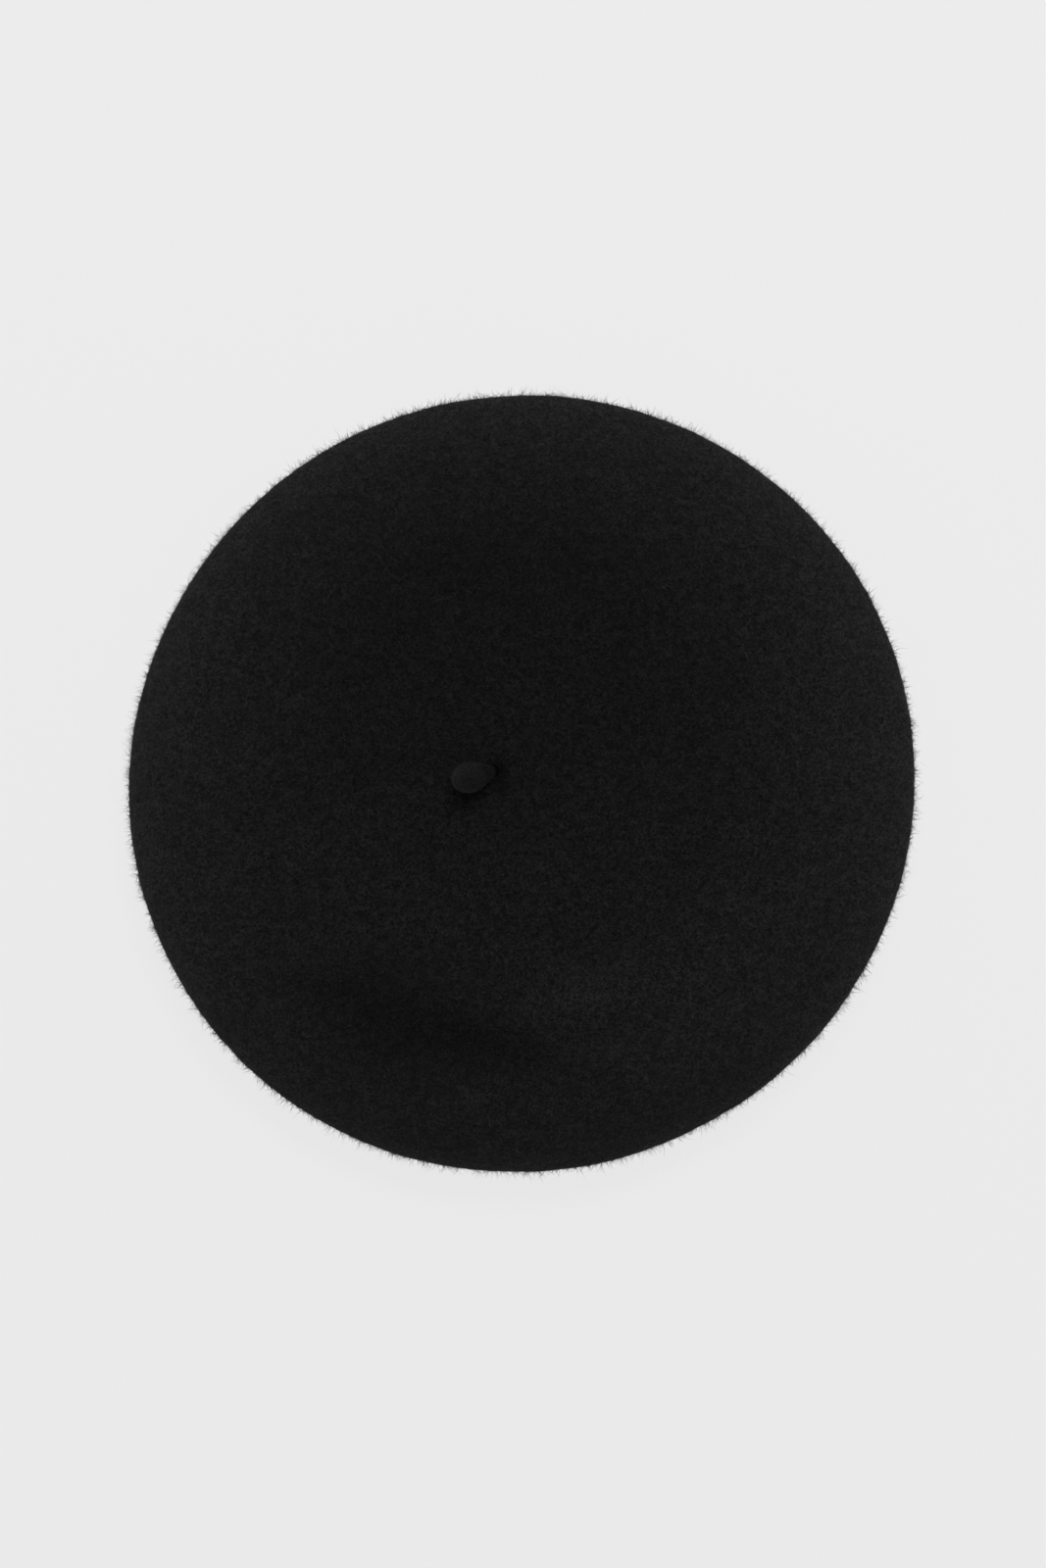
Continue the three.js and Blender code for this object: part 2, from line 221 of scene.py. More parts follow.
def tubes(name, paths, radius, material, sides=6):
    """Round threads along several paths, in one mesh. Each is closed, and narrower at its ends."""
    spokes = circle(sides)
    points, faces = [], []
    for path in paths:
        path = np.asarray(path, float)
        count, first = len(path), len(points)
        tangent = np.gradient(path, axis=0)
        tangent /= np.linalg.norm(tangent, axis=1)[:, None]
        reference = np.eye(3)[np.argmin(np.abs(tangent[count // 2]))]
        side = np.cross(tangent, reference)
        side /= np.linalg.norm(side, axis=1)[:, None]
        up = np.cross(side, tangent)
        for k in range(count):
            reach = radius * (0.55 if k in (0, count - 1) else 1)
            points += [path[k] + reach * (side[k] * math.cos(a) + up[k] * math.sin(a)) for a in spokes]
        for k in range(count - 1):
            here, after = first + k * sides, first + (k + 1) * sides
            faces += [(here + s, here + (s + 1) % sides, after + (s + 1) % sides, after + s)
                      for s in range(sides)]
        faces.append(tuple(first + s for s in reversed(range(sides))))
        faces.append(tuple(first + (count - 1) * sides + s for s in range(sides)))
    return facing_out(new_piece(name, points, faces, material))


def stitch(start, end, bulge, steps=6):
    """The path of one stitch, which bows out by the vector bulge."""
    t = np.linspace(0, 1, steps)[:, None]
    return mix(np.asarray(start), np.asarray(end), t) + np.asarray(bulge) * 4 * t * (1 - t)


def around(radius, height, angle):
    """A point at a radius, height and direction from the upright axis."""
    return np.array([radius * math.cos(angle), radius * math.sin(angle), height])


def vertex_points(piece, kind="co"):
    """Where a piece's vertices are, or with the kind "normal" their normals."""
    values = np.zeros(len(piece.data.vertices) * 3)
    piece.data.vertices.foreach_get(kind, values)
    return values.reshape(-1, 3)


def set_points(piece, points):
    piece.data.vertices.foreach_set("co", np.asarray(points, float).reshape(-1))
    piece.data.update()


def push(piece, amount):
    """Moves each vertex along its normal."""
    set_points(piece, vertex_points(piece) + vertex_points(piece, "normal") * amount[:, None])


def oval(points):
    """Pulls the outer part of the beret into its slightly oval outline."""
    radius, angle = polar(points)
    scale = 1 + OVAL_SHARE * smoothstep(radius, OVAL_START, RIM) * np.cos(2 * (angle - OVAL_ANGLE))
    return points * np.stack([scale, scale, np.ones_like(scale)], axis=1)


def fibres(name, roots, ways, lengths, radii, bend, material, rng, joints=3):
    """Fine tapered three-sided fibres in one mesh. ways are unit directions, and bend curls each fibre."""
    count = len(roots)
    curl = rng.normal(size=(count, 3))
    curl -= ways * (curl * ways).sum(axis=1)[:, None]
    curl /= np.linalg.norm(curl, axis=1)[:, None] + 1e-9
    side = np.cross(ways, curl)
    twist = rng.uniform(-0.6, 0.6, count)
    vertices = np.zeros((count, 3 * joints + 1, 3))
    for k in range(joints + 1):
        t = k / joints
        along = ways * t + curl * (bend * t * t)[:, None] + side * (bend * twist * t ** 3)[:, None]
        centre = roots + along * lengths[:, None]
        if k == joints:
            vertices[:, -1] = centre
            continue
        taper = radii * (1 - 0.65 * t)
        for s in range(3):
            angle = 2 * math.pi * s / 3
            spoke = curl * math.cos(angle) + side * math.sin(angle)
            vertices[:, 3 * k + s] = centre + spoke * taper[:, None]
    tip = 3 * joints
    one = [(2, 1, 0)]
    for k in range(joints - 1):
        for s in range(3):
            a, b = 3 * k + s, 3 * k + (s + 1) % 3
            one.append((a, b, b + 3, a + 3))
    one += [(tip - 3 + s, tip - 3 + (s + 1) % 3, tip) for s in range(3)]
    faces = [tuple(first + corner for corner in face)
             for first in range(0, count * (tip + 1), tip + 1) for face in one]
    return new_piece(name, vertices.reshape(-1, 3), faces, material)


# -------- materials

def socket_name(key):
    return key.replace("_", " ").title().replace("Ior", "IOR")


def new_material(name, color, roughness, **settings):
    """A Principled material, with what is the same all over set on the shader's own sockets."""
    material = bpy.data.materials.new(name)
    material.use_nodes = True
    shader = material.node_tree.nodes["Principled BSDF"]
    shader.inputs["Base Color"].default_value = (*color, 1)
    shader.inputs["Roughness"].default_value = roughness
    for key, value in settings.items():
        shader.inputs[socket_name(key)].default_value = value
    return material


def node(material, kind, inputs=None, **properties):
    made = material.node_tree.nodes.new(kind)
    for key, value in properties.items():
        setattr(made, key, value)
    for key, value in (inputs or {}).items():
        if isinstance(value, bpy.types.NodeSocket):
            material.node_tree.links.new(value, made.inputs[key])
        else:
            made.inputs[key].default_value = value
    return made


def object_place(material, scale=(1, 1, 1)):
    coordinates = node(material, "ShaderNodeTexCoord")
    mapping = node(material, "ShaderNodeMapping", {
        "Vector": coordinates.outputs["Object"], "Scale": scale})
    return mapping.outputs["Vector"]


def noise_node(material, place, scale, detail, roughness, distortion=0):
    made = node(material, "ShaderNodeTexNoise", {
        "Vector": place, "Scale": scale, "Detail": detail, "Roughness": roughness,
        "Distortion": distortion})
    return made.outputs["Fac"]


def bands_node(material, place, scale, distortion, direction, detail=2):
    """Wavy bands, for a weave or a twist."""
    made = node(material, "ShaderNodeTexWave", {
        "Vector": place, "Scale": scale, "Distortion": distortion, "Detail": detail,
    }, wave_type="BANDS", bands_direction=direction)
    return made.outputs["Fac"]


def ramp(material, value, stops):
    """stops are two of (position, grey or colour), the lower position first."""
    made = node(material, "ShaderNodeValToRGB", {"Fac": value})
    for element, (position, tone) in zip(made.color_ramp.elements, stops):
        element.position = position
        element.color = (*tone, 1) if isinstance(tone, tuple) else (tone, tone, tone, 1)
    return made.outputs["Color"]


def blend_colors(material, a, b, factor, kind="MIX"):
    """Mixes two colours. The sockets are found by number, because a mix node has several of each name."""
    made = node(material, "ShaderNodeMix", {0: factor, 6: a, 7: b}, data_type="RGBA", blend_type=kind)
    return made.outputs[2]


def bumps(material, layers):
    """Chains bump nodes: layers are (height socket, strength, distance)."""
    normal = None
    for height, strength, distance in layers:
        made = node(material, "ShaderNodeBump", {
            "Height": height, "Strength": strength, "Distance": distance})
        if normal:
            material.node_tree.links.new(normal, made.inputs["Normal"])
        normal = made.outputs["Normal"]
    return normal


def wire(material, **sockets):
    shader = material.node_tree.nodes["Principled BSDF"]
    for key, value in sockets.items():
        material.node_tree.links.new(value, shader.inputs[socket_name(key)])


def felt_material(name, bloom, grain, patchy):
    """Fulled wool: matted fibres, clumps of nap, and a soft bloom at grazing angles. A larger grain is
    finer, and a larger patchy has more contrast. The vertex values "nap" are painted light and shade,
    which lighten and darken it."""
    material = new_material(name, (0.006, 0.006, 0.006), 0.95, sheen_weight=bloom, sheen_roughness=0.45,
                            sheen_tint=(0.9, 0.9, 0.92, 1), specular_ior_level=2.7 * bloom)
    place = object_place(material)
    matted = noise_node(material, place, 1000 * grain, 3, 0.6, 0.8)
    hairs = noise_node(material, place, 2600, 2, 0.5, 1.2)
    clumps = noise_node(material, place, 330 * grain, 3, 0.6, 0.5)
    cloud = noise_node(material, place, 38, 3, 0.5)
    tone = ramp(material, matted, [(0.5 - 0.115 / patchy, 0.0016), (0.5 + 0.115 / patchy, 0.0118)])
    patches = ramp(material, clumps, [(0.5 - 0.13 / patchy, 0.70), (0.5 + 0.13 / patchy, 1.30)])
    broad = ramp(material, cloud, [(0.3, 0.92), (0.7, 1.08)])
    color = blend_colors(material, tone, patches, 1.0, "MULTIPLY")
    color = blend_colors(material, color, broad, 1.0, "MULTIPLY")
    specks = ramp(material, hairs, [(0.62, 0.0), (0.72, 1.0)])
    color = blend_colors(material, color, (0.027, 0.027, 0.028, 1), specks)
    # the nap values are painted light and shade, multiplied into the colour
    nap = node(material, "ShaderNodeAttribute", attribute_name="nap").outputs["Fac"]
    grey = node(material, "ShaderNodeCombineColor", {"Red": nap, "Green": nap, "Blue": nap})
    color = blend_colors(material, color, grey.outputs["Color"], 1.0, "MULTIPLY")
    normal = bumps(material, [(clumps, 0.6, 0.7 * MM), (matted, 0.7, 0.4 * MM), (hairs, 0.4, 0.1 * MM)])
    wire(material, base_color=color, normal=normal)
    return material


def fibre_material():
    return new_material("wool_fibre", (0.016, 0.016, 0.017), 0.6, specular_ior_level=0.3)


def satin_material():
    material = new_material("lining_satin", (0.010, 0.010, 0.011), 0.34,
                            sheen_weight=0.15, anisotropic=0.5)
    place = object_place(material)
    warp = bands_node(material, place, 1500, 0.6, "X", detail=1)
    weft = noise_node(material, object_place(material, (1, 6, 1)), 500, 2, 0.5)
    color = ramp(material, weft, [(0.3, (0.008, 0.008, 0.009)), (0.7, (0.014, 0.014, 0.016))])
    normal = bumps(material, [(warp, 0.25, 0.04 * MM), (weft, 0.2, 0.06 * MM)])
    wire(material, base_color=color, normal=normal)
    return material


def leather_material():
    material = new_material("sheepskin", (0.02, 0.014, 0.011), 0.5, specular_ior_level=0.45)
    place = object_place(material)
    cells = node(material, "ShaderNodeTexVoronoi", {"Vector": place, "Scale": 1100, "Randomness": 1.0},
                 feature="DISTANCE_TO_EDGE")
    grain = ramp(material, cells.outputs["Distance"], [(0.0, 0.0), (0.22, 1.0)])
    folds = noise_node(material, place, 160, 4, 0.6)
    worn = noise_node(material, place, 45, 3, 0.55)
    color = ramp(material, worn, [(0.3, (0.014, 0.010, 0.008)), (0.7, (0.030, 0.021, 0.016))])
    shine = ramp(material, folds, [(0.25, 0.42), (0.75, 0.6)])
    normal = bumps(material, [(folds, 0.35, 0.35 * MM), (grain, 0.4, 0.09 * MM)])
    wire(material, base_color=color, roughness=shine, normal=normal)
    return material


def twill_material(name, dark, light, scale):
    """A diagonal weave."""
    material = new_material(name, dark, 0.85, sheen_weight=0.1, specular_ior_level=0.25)
    place = object_place(material)
    ribs = bands_node(material, place, scale, 0.8, "DIAGONAL")
    fuzz = noise_node(material, place, 700, 3, 0.6)
    color = ramp(material, ribs, [(0.2, dark), (0.8, light)])
    normal = bumps(material, [(ribs, 0.6, 0.12 * MM), (fuzz, 0.3, 0.1 * MM)])
    wire(material, base_color=color, normal=normal)
    return material


def thread_material():
    """Two-ply twisted thread."""
    material = new_material("sewing_thread", (0.012, 0.012, 0.012), 0.5, sheen_weight=0.12)
    ply = bands_node(material, object_place(material), 700, 1.0, "DIAGONAL")
    color = ramp(material, ply, [(0.2, 0.007), (0.8, 0.02)])
    wire(material, base_color=color, normal=bumps(material, [(ply, 0.6, 0.08 * MM)]))
    return material


def label_material():
    """Blank woven label satin, off-white."""
    material = new_material("woven_label", (0.46, 0.44, 0.40), 0.45, sheen_weight=0.2, anisotropic=0.3)
    place = object_place(material)
    weave = bands_node(material, place, 900, 0.3, "X")
    stain = noise_node(material, place, 120, 3, 0.6)
    color = ramp(material, stain, [(0.3, (0.42, 0.40, 0.36)), (0.7, (0.50, 0.48, 0.44))])
    wire(material, base_color=color, normal=bumps(material, [(weave, 0.4, 0.06 * MM)]))
    return material


def floor_material():
    """A lit white sweep: it glows, and takes only a faint shadow."""
    return new_material("pale_floor", (0.10, 0.10, 0.10), 0.9, specular_ior_level=0.0,
                        emission_color=(1, 1, 1, 1), emission_strength=0.775)


# -------- camera, floor and light

def make_camera():
    """Straight above the middle of the beret, as far away as a portrait lens stands."""
    view_width = 0.375  # at the height of the rim
    aside = 0.35 * MM  # how far the camera is off the beret's middle
    aspect = 1600 / 1067
    camera = bpy.data.cameras.new("camera")
    camera.sensor_fit = "VERTICAL"
    camera.sensor_height = 36
    camera.lens = 85
    distance = view_width * aspect * camera.lens / camera.sensor_height
    holder = bpy.data.objects.new("camera", camera)
    holder.location = (aside, 0, distance + FOLD)
    bpy.context.scene.collection.objects.link(holder)
    bpy.context.scene.camera = holder


def make_window():
    """A soft light from the front of the beret, aimed at its middle."""
    light = bpy.data.lights.new("window", "AREA")
    light.shape = "RECTANGLE"
    light.size, light.size_y = 1.4, 0.7
    light.energy = 18
    place = Vector((0.3, 1.35, 1.5))
    holder = bpy.data.objects.new("window", light)
    holder.location = place
    holder.rotation_euler = (-place).to_track_quat("-Z", "Y").to_euler()
    holder.visible_camera = False
    bpy.context.scene.collection.objects.link(holder)


def make_world(seen, horizon, zenith, band):
    """A light tent: bright low down all round, up to the height band, and dimmer overhead. seen is its
    strength where the camera sees it, about as pale as the floor."""
    world = bpy.data.worlds.new("studio")
    world.use_nodes = True
    background = world.node_tree.nodes["Background"]
    place = node(world, "ShaderNodeTexCoord")
    split = node(world, "ShaderNodeSeparateXYZ", {"Vector": place.outputs["Generated"]})
    tent = node(world, "ShaderNodeMapRange", {
        "Value": split.outputs["Z"], "From Min": 0.0, "From Max": band,
        "To Min": horizon, "To Max": zenith}, interpolation_type="SMOOTHSTEP")
    path = node(world, "ShaderNodeLightPath")
    strength = node(world, "ShaderNodeMix", {"Factor": path.outputs["Is Camera Ray"],
                                             "A": tent.outputs["Result"], "B": seen})
    world.node_tree.links.new(strength.outputs["Result"], background.inputs["Strength"])
    background.inputs["Color"].default_value = (1, 1, 1, 1)
    bpy.context.scene.world = world


def make_studio():
    half = 40  # so wide that low views see no edge
    corners = [(-half, -half, 0), (half, -half, 0), (half, half, 0), (-half, half, 0)]
    new_piece("floor", corners, [(0, 1, 2, 3)], floor_material(), smooth=False)
    make_world(seen=0.83, horizon=8.0, zenith=0.16, band=0.22)
    make_window()
    bpy.context.scene.view_settings.view_transform = "Standard"


# -------- the felt body

def fold_place(x, y):
    """Millimetres along and across the soft fold near the back left of the crown, from its middle."""
    slant = math.radians(-17)
    east, north = x / MM + 27, y / MM + 88.5
    along = east * math.cos(slant) + north * math.sin(slant)
    return along, north * math.cos(slant) - east * math.sin(slant)


def relief(x, y):
    """How the crown departs from a plain round one, in metres. The sizes in it are in millimetres."""
    radius, angle = np.hypot(x, y) / MM, np.arctan2(y, x)
    along, across = fold_place(x, y)
    height = -2.4 * (1 - smoothstep(radius, 38, 86))  # the dish inside the sweatband
    height -= 2.4 * bell(along, 46) * bell(across - 8, 12)  # the soft fold
    height += 1.5 * toward(angle, 294, 24) * bell(radius - 92, 9)  # the swelling beside the fold
    height -= 0.35 * toward(angle, 44, 14) * bell(radius - 74, 3.5)
    height -= 0.4 * toward(angle, -83, 14) * bell(radius - 54, 8)
    ground = np.stack([x, y, np.zeros_like(x)], axis=-1)
    calm = 1 - smoothstep(radius, 112, 132)  # the lumps die away at the rim
    broad, fine = noise(ground, 62 * MM, 3), noise(ground, 21 * MM, 4)
    return (height + calm * (0.5 * broad + 0.18 * fine)) * MM


def layer(radius, angles, depth):
    """A row of points round the surface that lies depth inside the crown's outer surface. radius is that
    of the outer surface's own row."""
    x, y = radius * np.cos(angles), radius * np.sin(angles)
    out = max(0.0, (radius - LEVEL) / (RIM - LEVEL))
    fall = max(0.0, 1 - out ** ROUNDNESS) ** (1 / ROUNDNESS)
    height = FOLD + (CROWN - FOLD - depth) * fall + relief(x, y)
    inward = 1 - depth * out / radius
    return np.stack([x * inward, y * inward, height], axis=1)


def level_row(radius, height, angles):
    x, y = radius * np.cos(angles), radius * np.sin(angles)
    return np.stack([x, y, np.full_like(angles, height)], axis=1)


def fold_row(reach, turn, angles):
    """A level row round the rim's fold: reach from the fold's centre line, an angle turn above it."""
    return level_row(FOLD_CENTRE + reach * math.cos(turn), FOLD + reach * math.sin(turn), angles)


def fall_radii(count):
    """Radii from where the crown starts to fall away out to the rim, closer together at the rim."""
    return LEVEL + (RIM - LEVEL) * np.sin(np.linspace(0, math.pi / 2, count)[1:])


def fall_radius(turn):
    """The radius of the row that lies an angle turn above the rim's widest point."""
    return LEVEL + (RIM - LEVEL) * math.cos(turn) ** (2 / ROUNDNESS)


def stalk_dimple(points):
    """How far the crown is drawn down round the stalk's root, deepest on the side it leans away from."""
    east = (points[..., 0] - STALK_PIVOT.x) / MM
    north = (points[..., 1] - STALK_PIVOT.y) / MM
    broad = 0.8 * bell(np.hypot(east, north), 7)
    deep = 1.3 * bell(np.hypot(east - 1.6, north + 0.4), 3.6)
    return (broad + deep) * MM


def felt_rows(angles):
    """The felt's outside from the middle of the crown round the rim to the opening, and back inside it.
    The second list says how strongly each row takes the felt's small lumps."""
    outside, inside = [], []
    near, far = np.linspace(INNERMOST, 24 * MM, 34), np.linspace(25.1 * MM, LEVEL, 34)
    for radius in [*near, *far, *fall_radii(72)]:
        row = layer(radius, angles, 0)
        row[:, 2] -= stalk_dimple(row)
        outside.append(row)
    for turn in np.linspace(0, -math.pi / 2, 18)[1:]:
        outside.append(fold_row(FOLD, turn, angles))
    half = FELT / 2
    for radius in np.linspace(FOLD_CENTRE, OPENING + half, 16)[1:]:
        inside.append(level_row(radius, 0, angles))
    for turn in np.linspace(-math.pi / 2, -1.5 * math.pi, 7)[1:-1]:
        radius, height = OPENING + half * (1 + math.cos(turn)), half * (1 + math.sin(turn))
        inside.append(level_row(radius, height, angles))
    for radius in np.linspace(OPENING + half, FOLD_CENTRE, 8):
        inside.append(level_row(radius, FELT, angles))
    for turn in np.linspace(-math.pi / 2, 0, 6)[1:]:
        inside.append(fold_row(FOLD - FELT, turn, angles))
    for radius in [*fall_radii(24)[-2::-1], *np.linspace(LEVEL, INNERMOST, 8)]:
        inside.append(layer(radius, angles, FELT))
    return outside + inside, [1.0] * len(outside) + [0.3] * len(inside)


def painted_light_and_shade(points):
    """Painted light and shade on the felt, as a factor on its colour: a painted highlight towards the rim,
    lighter and darker patches of painted light and shade across the crown, and painted shade in the fold
    and beside the stalk.
    Its directions are in degrees and its sizes in millimetres."""
    radius, angle = polar(points)
    radius = radius / MM

    def spot(direction, spread, middle, width):
        return toward(angle, direction, spread) * bell(radius - middle, width)

    def sector(direction, spread, start, end):
        return toward(angle, direction, spread) * smoothstep(radius, start, end)

    # painted highlight: the felt is made lighter towards the rim
    tone = 1 + 0.34 * smoothstep(radius, 62, 122)
    # painted light and shade round the rim, from its right round to the back
    tone += 0.12 * sector(8, 22, 92, 115)
    tone -= 0.15 * sector(78, 34, 114, 130)
    tone -= 0.35 * sector(100, 62, 54, 84) * (1 - 0.8 * smoothstep(radius, 116, 132))
    tone += 0.08 * sector(160, 12, 66, 82)
    tone += 0.18 * sector(188, 38, 62, 92)
    tone -= 0.15 * sector(238, 26, 94, 114)
    tone -= 0.41 * sector(284, 40, 112, 130)
    # painted light and shade on the level middle
    tone += 0.28 * sector(270, 75, -16, 34) * (1 - smoothstep(radius, 76, 96))
    tone += 0.10 * sector(200, 16, 15, 32) * (1 - smoothstep(radius, 84, 104))
    tone += 0.14 * spot(350, 30, 44, 18)
    tone -= 0.15 * spot(0, 50, 10, 9)
    tone -= 0.10 * spot(110, 50, 47, 9)
    tone -= 0.13 * spot(272, 20, 53, 6)
    tone += 0.08 * spot(0, 14, 68, 14)
    # painted highlight on the slope beyond the sweatband, at the back right, where it faces the light
    tone += 0.58 * spot(290, 16, 78, 8)
    tone += 0.34 * spot(322, 40, 92, 20)
    return tone - painted_fold_shade(points) - painted_stalk_shadow(points)


def painted_fold_shade(points):
    """Painted shade in the soft fold, where the crease lies in shadow."""
    along, across = fold_place(points[:, 0], points[:, 1])
    width = 8 + 14.5 * bell(along + 20, 28)
    return 0.5 * np.exp(-(((along + 3) / 55) ** 4)) * bell(across - 1.5, width)


def painted_stalk_shadow(points):
    """Painted shadow beside the stalk: in the dimple at its root, and round the side under its tip."""
    east, north = (points[:, 0] - STALK_PIVOT.x) / MM, (points[:, 1] - STALK_PIVOT.y) / MM
    # painted shadow in the dimple at the root, and painted contact shadow round the tip
    root = bell(east - 1.9, 3.0) * bell(north + 4.4, 3.2)
    past, beyond = east + 10.3, north + 3.2  # from the middle of the tip
    off_tip = np.hypot(past, beyond)
    side = smoothstep((0.5 * past - 0.85 * beyond) / (off_tip + 1), -0.8, 0.7)
    return 0.78 * root + 0.42 * side * bell(off_tip - 5.8, 1.3)


def add_attribute(piece, name, values):
    piece.data.attributes.new(name, "FLOAT", "POINT").data.foreach_set("value", values.astype(np.float32))


def felt_body(material, columns=440):
    rows, softness = felt_rows(circle(columns))
    body = skin("felt_shell", rows, material)
    points = vertex_points(body)
    soft = np.append(np.repeat(softness, columns), [softness[0], softness[-1]])
    lumps = 0.14 * noise(points, 9 * MM, 5) + 0.10 * noise(points, 4 * MM, 6)
    lumps += 0.05 * noise(points, 2.2 * MM, 7)
    edge = smoothstep(polar(points)[0], RIM - 20 * MM, RIM) * (soft == 1)
    push(body, (lumps * soft + 0.35 * edge * noise(points, 55 * MM, 8)) * MM)
    settled = oval(vertex_points(body))
    lowest = 0.15 * MM  # so that no lump goes into the floor
    settled[:, 2] = np.maximum(settled[:, 2], lowest)
    set_points(body, settled)
    # the nap values here are painted light and shade on the felt
    add_attribute(body, "nap", painted_light_and_shade(settled))
    return body


# -------- the nap

def surface_samples(piece, count, rng, wanted):
    """count random points on the faces that wanted picks, with the faces' normals."""
    corners = triangle_corners(piece)
    middle = corners.mean(axis=1)
    cross = np.cross(corners[:, 1] - corners[:, 0], corners[:, 2] - corners[:, 0])
    area = np.linalg.norm(cross, axis=1)
    normal = cross / (area[:, None] + 1e-15)
    weight = area * wanted(middle, normal)
    picks = rng.choice(len(area), count, p=weight / weight.sum())
    a, b = rng.random((2, count, 1))
    flip = (a + b) > 1
    a, b = np.where(flip, 1 - a, a), np.where(flip, 1 - b, b)
    chosen = corners[picks]
    points = chosen[:, 0] + a * (chosen[:, 1] - chosen[:, 0]) + b * (chosen[:, 2] - chosen[:, 0])
    return points, normal[picks]


def leaning_ways(normals, lift, rng):
    """Directions that lean away from each normal: lift is 1 for upright and 0 for lying flat."""
    across = rng.normal(size=normals.shape)
    across -= normals * (across * normals).sum(axis=1)[:, None]
    across /= np.linalg.norm(across, axis=1)[:, None]
    ways = normals * lift[:, None] + across * np.sqrt(1 - np.clip(lift, 0, 1) ** 2)[:, None]
    return ways / np.linalg.norm(ways, axis=1)[:, None]


def rim_nap(name, body, material, radius, lengths, rise, rng):
    """Fibres that stand out round the rim. rise is how upright they are on average, from 0 to 1."""
    def on_rim(middle, normal):
        outward = (middle[:, :2] * normal[:, :2]).sum(axis=1) / polar(middle)[0]
        return np.where(outward > 0.3, bell(middle[:, 2] - FOLD + 1.5 * MM, 3.5 * MM), 0)

    count = len(lengths)
    points, normals = surface_samples(body, count, rng, on_rim)
    ways = leaning_ways(normals, np.clip(rng.normal(rise, 0.25, count), 0.05, 1), rng)
    radii = radius * rng.uniform(0.6, 1.4, count)
    bend = rng.uniform(0.1, 1.3, count)
    sunk = 0.1 * MM  # how deep the roots are in the felt
    nap = fibres(name, points - ways * sunk, ways, lengths, radii, bend, material, rng)
    resting = vertex_points(nap)
    lowest = 0.1 * MM
    resting[:, 2] = np.maximum(resting[:, 2], lowest)
    set_points(nap, resting)
    return nap


def crown_nap(body, material):
    """Fibres that rest on the crown, curled and mostly flat."""
    rng = np.random.default_rng(12)
    count = 12000
    points, normals = surface_samples(body, count, rng, lambda middle, normal: np.where(
        (normal[:, 2] > 0.3) & (middle[:, 2] > 18 * MM), 1.0, 0.0))
    lengths = rng.gamma(4.0, 0.5, count) * MM
    lift = np.clip(rng.normal(0.16, 0.1, count), 0.03, 0.6)
    ways = leaning_ways(normals, lift, rng)
    bend = rng.uniform(0.2, 1.0, count)
    radii = rng.uniform(0.02, 0.04, count) * MM
    return fibres("crown_nap", points, ways, lengths, radii, bend, material, rng)


# -------- the stalk

def stalk_radius(t):
    """The stalk's radius along its length, from its root (0) to its tip (1)."""
    egg = 2.6 + 2.5 * smoothstep(t, 0.12, 0.72)
    root = 0.9 * (1 - smoothstep(t, 0, 0.12))
    dome = np.sqrt(np.clip(1 - (np.clip(t - 0.7, 0, 1) / 0.3) ** 2.1, 0, 1))
    return (egg + root) * dome * MM


def stalk(material, columns=56):
    """A felted stub that rises out of its dimple and bends over. Its middle is a curve from start to tip,
    drawn towards turn."""
    up, away = np.array([0, 0, 1.0]), around(1, 0, STALK_BEARING)
    pivot = np.array(STALK_PIVOT)
    start = pivot - up * 4.6 * MM + away * 1.8 * MM
    turn = pivot + away * 3.4 * MM + up * 1.4 * MM
    tip = pivot + (away * math.sin(STALK_LEAN) + up * math.cos(STALK_LEAN)) * STALK_LENGTH
    sideways = np.cross(up, away)
    shaft = np.linspace(0, 0.7, 36)
    cap = 0.7 + 0.2995 * np.sin(np.linspace(0.06, math.pi / 2, 20))
    angles = circle(columns)[:, None]
    rows = []
    for t in np.concatenate([shaft, cap]):
        centre = (1 - t) ** 2 * start + 2 * t * (1 - t) * turn + t ** 2 * tip
        along = 2 * (1 - t) * (turn - start) + 2 * t * (tip - turn)
        across = np.cross(sideways, along / np.linalg.norm(along))
        spokes = np.cos(angles) * across + 1.04 * np.sin(angles) * sideways
        rows.append(centre + stalk_radius(t) * spokes)
    piece = skin("felt_stalk", rows, material)
    rest = vertex_points(piece)
    push(piece, (0.16 * noise(rest, 3.2 * MM, 21) + 0.08 * noise(rest, 1.3 * MM, 22)) * MM)
    share = (rest - pivot) @ away / (STALK_LENGTH * math.sin(STALK_LEAN))  # of the way out to the tip
    # painted light and shade on the stalk: its tip painted lighter, its neck painted darker towards the
    # shade of its dimple, and faces that look up painted lighter than its sides
    upward = np.clip(vertex_points(piece, "normal")[:, 2], 0, 1)
    painted_stalk_light = 0.30 + 0.85 * smoothstep(share, 0.05, 0.45) + 0.85 * smoothstep(share, 0.5, 1)
    add_attribute(piece, "nap", painted_stalk_light * (0.6 + 0.4 * upward))
    return piece


def stalk_nap(piece, material):
    rng = np.random.default_rng(13)
    count = 900
    points, normals = surface_samples(piece, count, rng, lambda middle, normal: np.where(
        middle[:, 2] > STALK_PIVOT.z - 2.5 * MM, 1.0, 0.0))
    lengths = rng.gamma(3.0, 0.22, count) * MM
    ways = leaning_ways(normals, np.clip(rng.normal(0.35, 0.25, count), 0.05, 1), rng)
    radii = rng.uniform(0.02, 0.035, count) * MM
    bend = rng.uniform(0.2, 0.9, count)
    return fibres("stalk_nap", points, ways, lengths, radii, bend, material, rng)


# -------- the stalk's anchor

